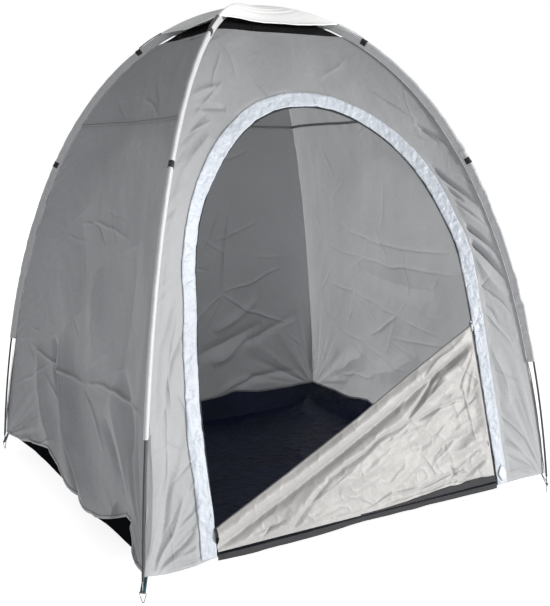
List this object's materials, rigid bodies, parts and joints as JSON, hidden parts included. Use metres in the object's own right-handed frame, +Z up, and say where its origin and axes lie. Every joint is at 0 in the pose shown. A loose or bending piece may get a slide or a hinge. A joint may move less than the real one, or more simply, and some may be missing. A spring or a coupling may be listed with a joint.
{
  "type": "pole tent",
  "caption": "Square frame tent on crossed flexible poles, with a zipped arch door, a netting roof under a lift-off rain cap and a raised-rim groundsheet.",
  "frame": {"origin": "centre of the square footprint, on the ground", "axes": "+Z up, the door wall faces -Y, +X to the right of someone looking at the door from outside"},
  "size_m": [2.028, 2.028, 2.2562],
  "materials": {
    "floor_sheet": "coated woven sheet, dark navy inside and black below, slightly glossy",
    "shell_cloth": "coated polyester taffeta, mid grey, low sheen",
    "flap_cloth": "same cloth with its silvery coated face showing",
    "netting": "fine black ventilation netting",
    "cap_cloth": "white coated taffeta",
    "black_webbing": "black woven polypropylene tape",
    "sleeve_cloth": "silver-white taffeta, puckered along its stitching",
    "trim_cloth": "pale blue-white crinkled taffeta",
    "zip_tape": "dark woven zip tape",
    "sill_cloth": "dark grey taffeta",
    "fibreglass": "dark pultruded glass fibre",
    "steel": "plated steel",
    "corner_webbing": "dark teal woven tape",
    "zinc": "dull zinc alloy"
  },
  "bodies": {
    "tent": {"groundsheet": "floor_sheet", "wall_front": "shell_cloth", "wall_left_lower": "shell_cloth", "wall_left_upper": "shell_cloth", "wall_right_lower": "shell_cloth", "wall_right_upper": "shell_cloth", "wall_back_lower": "shell_cloth", "wall_back_upper": "shell_cloth", "roof_mesh": "netting", "webbing_tab_lower_front_left": "black_webbing", "webbing_tab_upper_front_left": "black_webbing", "webbing_tab_lower_front_right": "black_webbing", "webbing_tab_upper_front_right": "black_webbing", "webbing_tab_lower_back_right": "black_webbing", "webbing_tab_upper_back_right": "black_webbing", "webbing_tab_lower_back_left": "black_webbing", "webbing_tab_upper_back_left": "black_webbing", "pole_sleeve_front_left": "sleeve_cloth", "pole_sleeve_front_right": "sleeve_cloth", "pole_sleeve_back_right": "sleeve_cloth", "pole_sleeve_back_left": "sleeve_cloth", "door_trim": "trim_cloth", "jamb_zip_tape": "zip_tape", "sill_strip": "sill_cloth", "pole_a_section_1": "fibreglass", "pole_a_section_2": "fibreglass", "pole_a_section_3": "fibreglass", "pole_a_section_4": "fibreglass", "pole_a_section_5": "fibreglass", "pole_a_section_6": "fibreglass", "pole_b_section_1": "fibreglass", "pole_b_section_2": "fibreglass", "pole_b_section_3": "fibreglass", "pole_b_section_4": "fibreglass", "pole_b_section_5": "fibreglass", "pole_b_section_6": "fibreglass", "corner_pin_front_left": "steel", "corner_pin_front_right": "steel", "corner_pin_back_right": "steel", "corner_pin_back_left": "steel", "corner_webbing_front_left": "corner_webbing", "corner_webbing_front_right": "corner_webbing", "corner_webbing_back_right": "corner_webbing", "corner_webbing_back_left": "corner_webbing"},
    "roof_cap": {"roof_cap": "cap_cloth", "cap_hem": "cap_cloth", "cap_strap_front_left": "black_webbing", "cap_strap_front_right": "black_webbing", "cap_strap_back_right": "black_webbing", "cap_strap_back_left": "black_webbing"},
    "door_flap": {"door_flap": "flap_cloth", "flap_zip_tape": "zip_tape"},
    "zip_slider": {"zip_slider": "zinc"},
    "zip_pull_outer": {"zip_pull_outer": "zinc"},
    "zip_pull_inner": {"zip_pull_inner": "zinc"},
    "ring_front_left": {"corner_ring_front_left": "steel"},
    "ring_front_right": {"corner_ring_front_right": "steel"},
    "ring_back_right": {"corner_ring_back_right": "steel"},
    "ring_back_left": {"corner_ring_back_left": "steel"}
  },
  "joints": [
    {"name": "roof_cap_lift", "type": "slide", "parent": "tent", "child": "roof_cap", "axis": [0, 0, 1], "range_m": [0, 0.35]},
    {"name": "door_flap_fold", "type": "hinge", "parent": "tent", "child": "door_flap", "pos_m": [0, -0.9866, 0.1145], "axis": [1, 0, 0], "range_deg": [-50, 100]},
    {"name": "zip_slide", "type": "slide", "parent": "tent", "child": "zip_slider", "axis": [-0.0557, 0.2029, 0.9776], "range_m": [-0.66, 0.05]},
    {"name": "outer_pull_swing", "type": "hinge", "parent": "zip_slider", "child": "zip_pull_outer", "pos_m": [0.65241, -0.84985, 0.81515], "axis": [-0.9896, 0.1186, -0.081], "range_deg": [0, 150]},
    {"name": "inner_pull_swing", "type": "hinge", "parent": "zip_slider", "child": "zip_pull_inner", "pos_m": [0.65397, -0.83838, 0.81285], "axis": [0.9909, -0.1349, 0], "range_deg": [-8, 120]},
    {"name": "ring_swing_front_left", "type": "hinge", "parent": "tent", "child": "ring_front_left", "pos_m": [-1.00247, -1.00247, 0.04216], "axis": [0.7071, -0.7071, 0], "range_deg": [-75, 75]},
    {"name": "ring_swing_front_right", "type": "hinge", "parent": "tent", "child": "ring_front_right", "pos_m": [1.00247, -1.00247, 0.04216], "axis": [0.7071, 0.7071, 0], "range_deg": [-75, 75]},
    {"name": "ring_swing_back_right", "type": "hinge", "parent": "tent", "child": "ring_back_right", "pos_m": [1.00247, 1.00247, 0.04216], "axis": [-0.7071, 0.7071, 0], "range_deg": [-75, 75]},
    {"name": "ring_swing_back_left", "type": "hinge", "parent": "tent", "child": "ring_back_left", "pos_m": [-1.00247, 1.00247, 0.04216], "axis": [-0.7071, -0.7071, 0], "range_deg": [-75, 75]}
  ]
}
